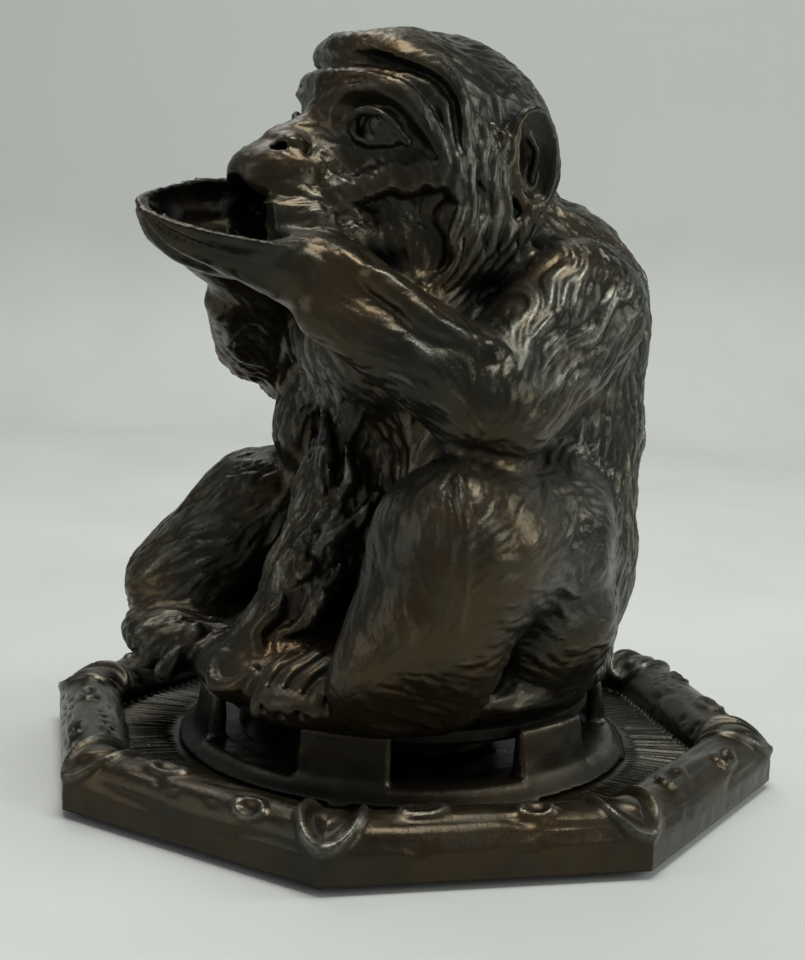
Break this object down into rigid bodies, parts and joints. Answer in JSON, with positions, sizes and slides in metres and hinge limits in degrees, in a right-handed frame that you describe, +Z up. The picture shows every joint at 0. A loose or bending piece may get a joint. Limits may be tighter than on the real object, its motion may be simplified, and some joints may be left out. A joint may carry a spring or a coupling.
{
  "type": "figural incense burner",
  "caption": "Hollow seated monkey incense burner with open mouth and cupped hands, lifting off a notched draught collar in an octagonal log-edged tray.",
  "frame": {"origin": "centre of the felt's underside, under the tray's centre", "axes": "+Z up; the monkey faces -Y, towards a corner of the octagonal tray; its left hand is on +X"},
  "size_m": [0.14, 0.14, 0.1358],
  "materials": {
    "felt": "dark green wool felt",
    "tray_bronze": "cast metal with a dark bronze-brown patina, satin, worn brighter on the ridges",
    "collar_bronze": "cast metal with a dark bronze-brown patina, satin",
    "cup_brass": "dull spun brass, smoke-stained",
    "ring_bronze": "machined cast metal with a dark patina",
    "figure_bronze": "cast metal with a dark bronze-brown patina, satin, worn pewter-grey on the fur's ridges",
    "hands_bronze": "cast metal with a dark bronze-brown patina, satin",
    "screw_steel": "dull steel"
  },
  "bodies": {
    "base": {"base_felt": "felt", "tray": "tray_bronze", "draught_collar": "collar_bronze", "collar_screw_1": "screw_steel", "collar_screw_2": "screw_steel", "collar_screw_3": "screw_steel"},
    "figure": {"figure_lower_front": "figure_bronze", "figure_upper_front": "figure_bronze", "figure_rear": "figure_bronze", "cupped_hands": "hands_bronze", "locating_ring": "ring_bronze", "ring_screw_1": "screw_steel", "ring_screw_2": "screw_steel", "ring_screw_3": "screw_steel", "ring_screw_4": "screw_steel"},
    "cup": {"ash_cup": "cup_brass"}
  },
  "joints": [
    {"name": "figure_lift", "type": "slide", "parent": "base", "child": "figure", "axis": [0, 0, 1], "range_m": [0, 0.06]},
    {"name": "cup_lift", "type": "slide", "parent": "base", "child": "cup", "axis": [0, 0, 1], "range_m": [0, 0.012]}
  ]
}
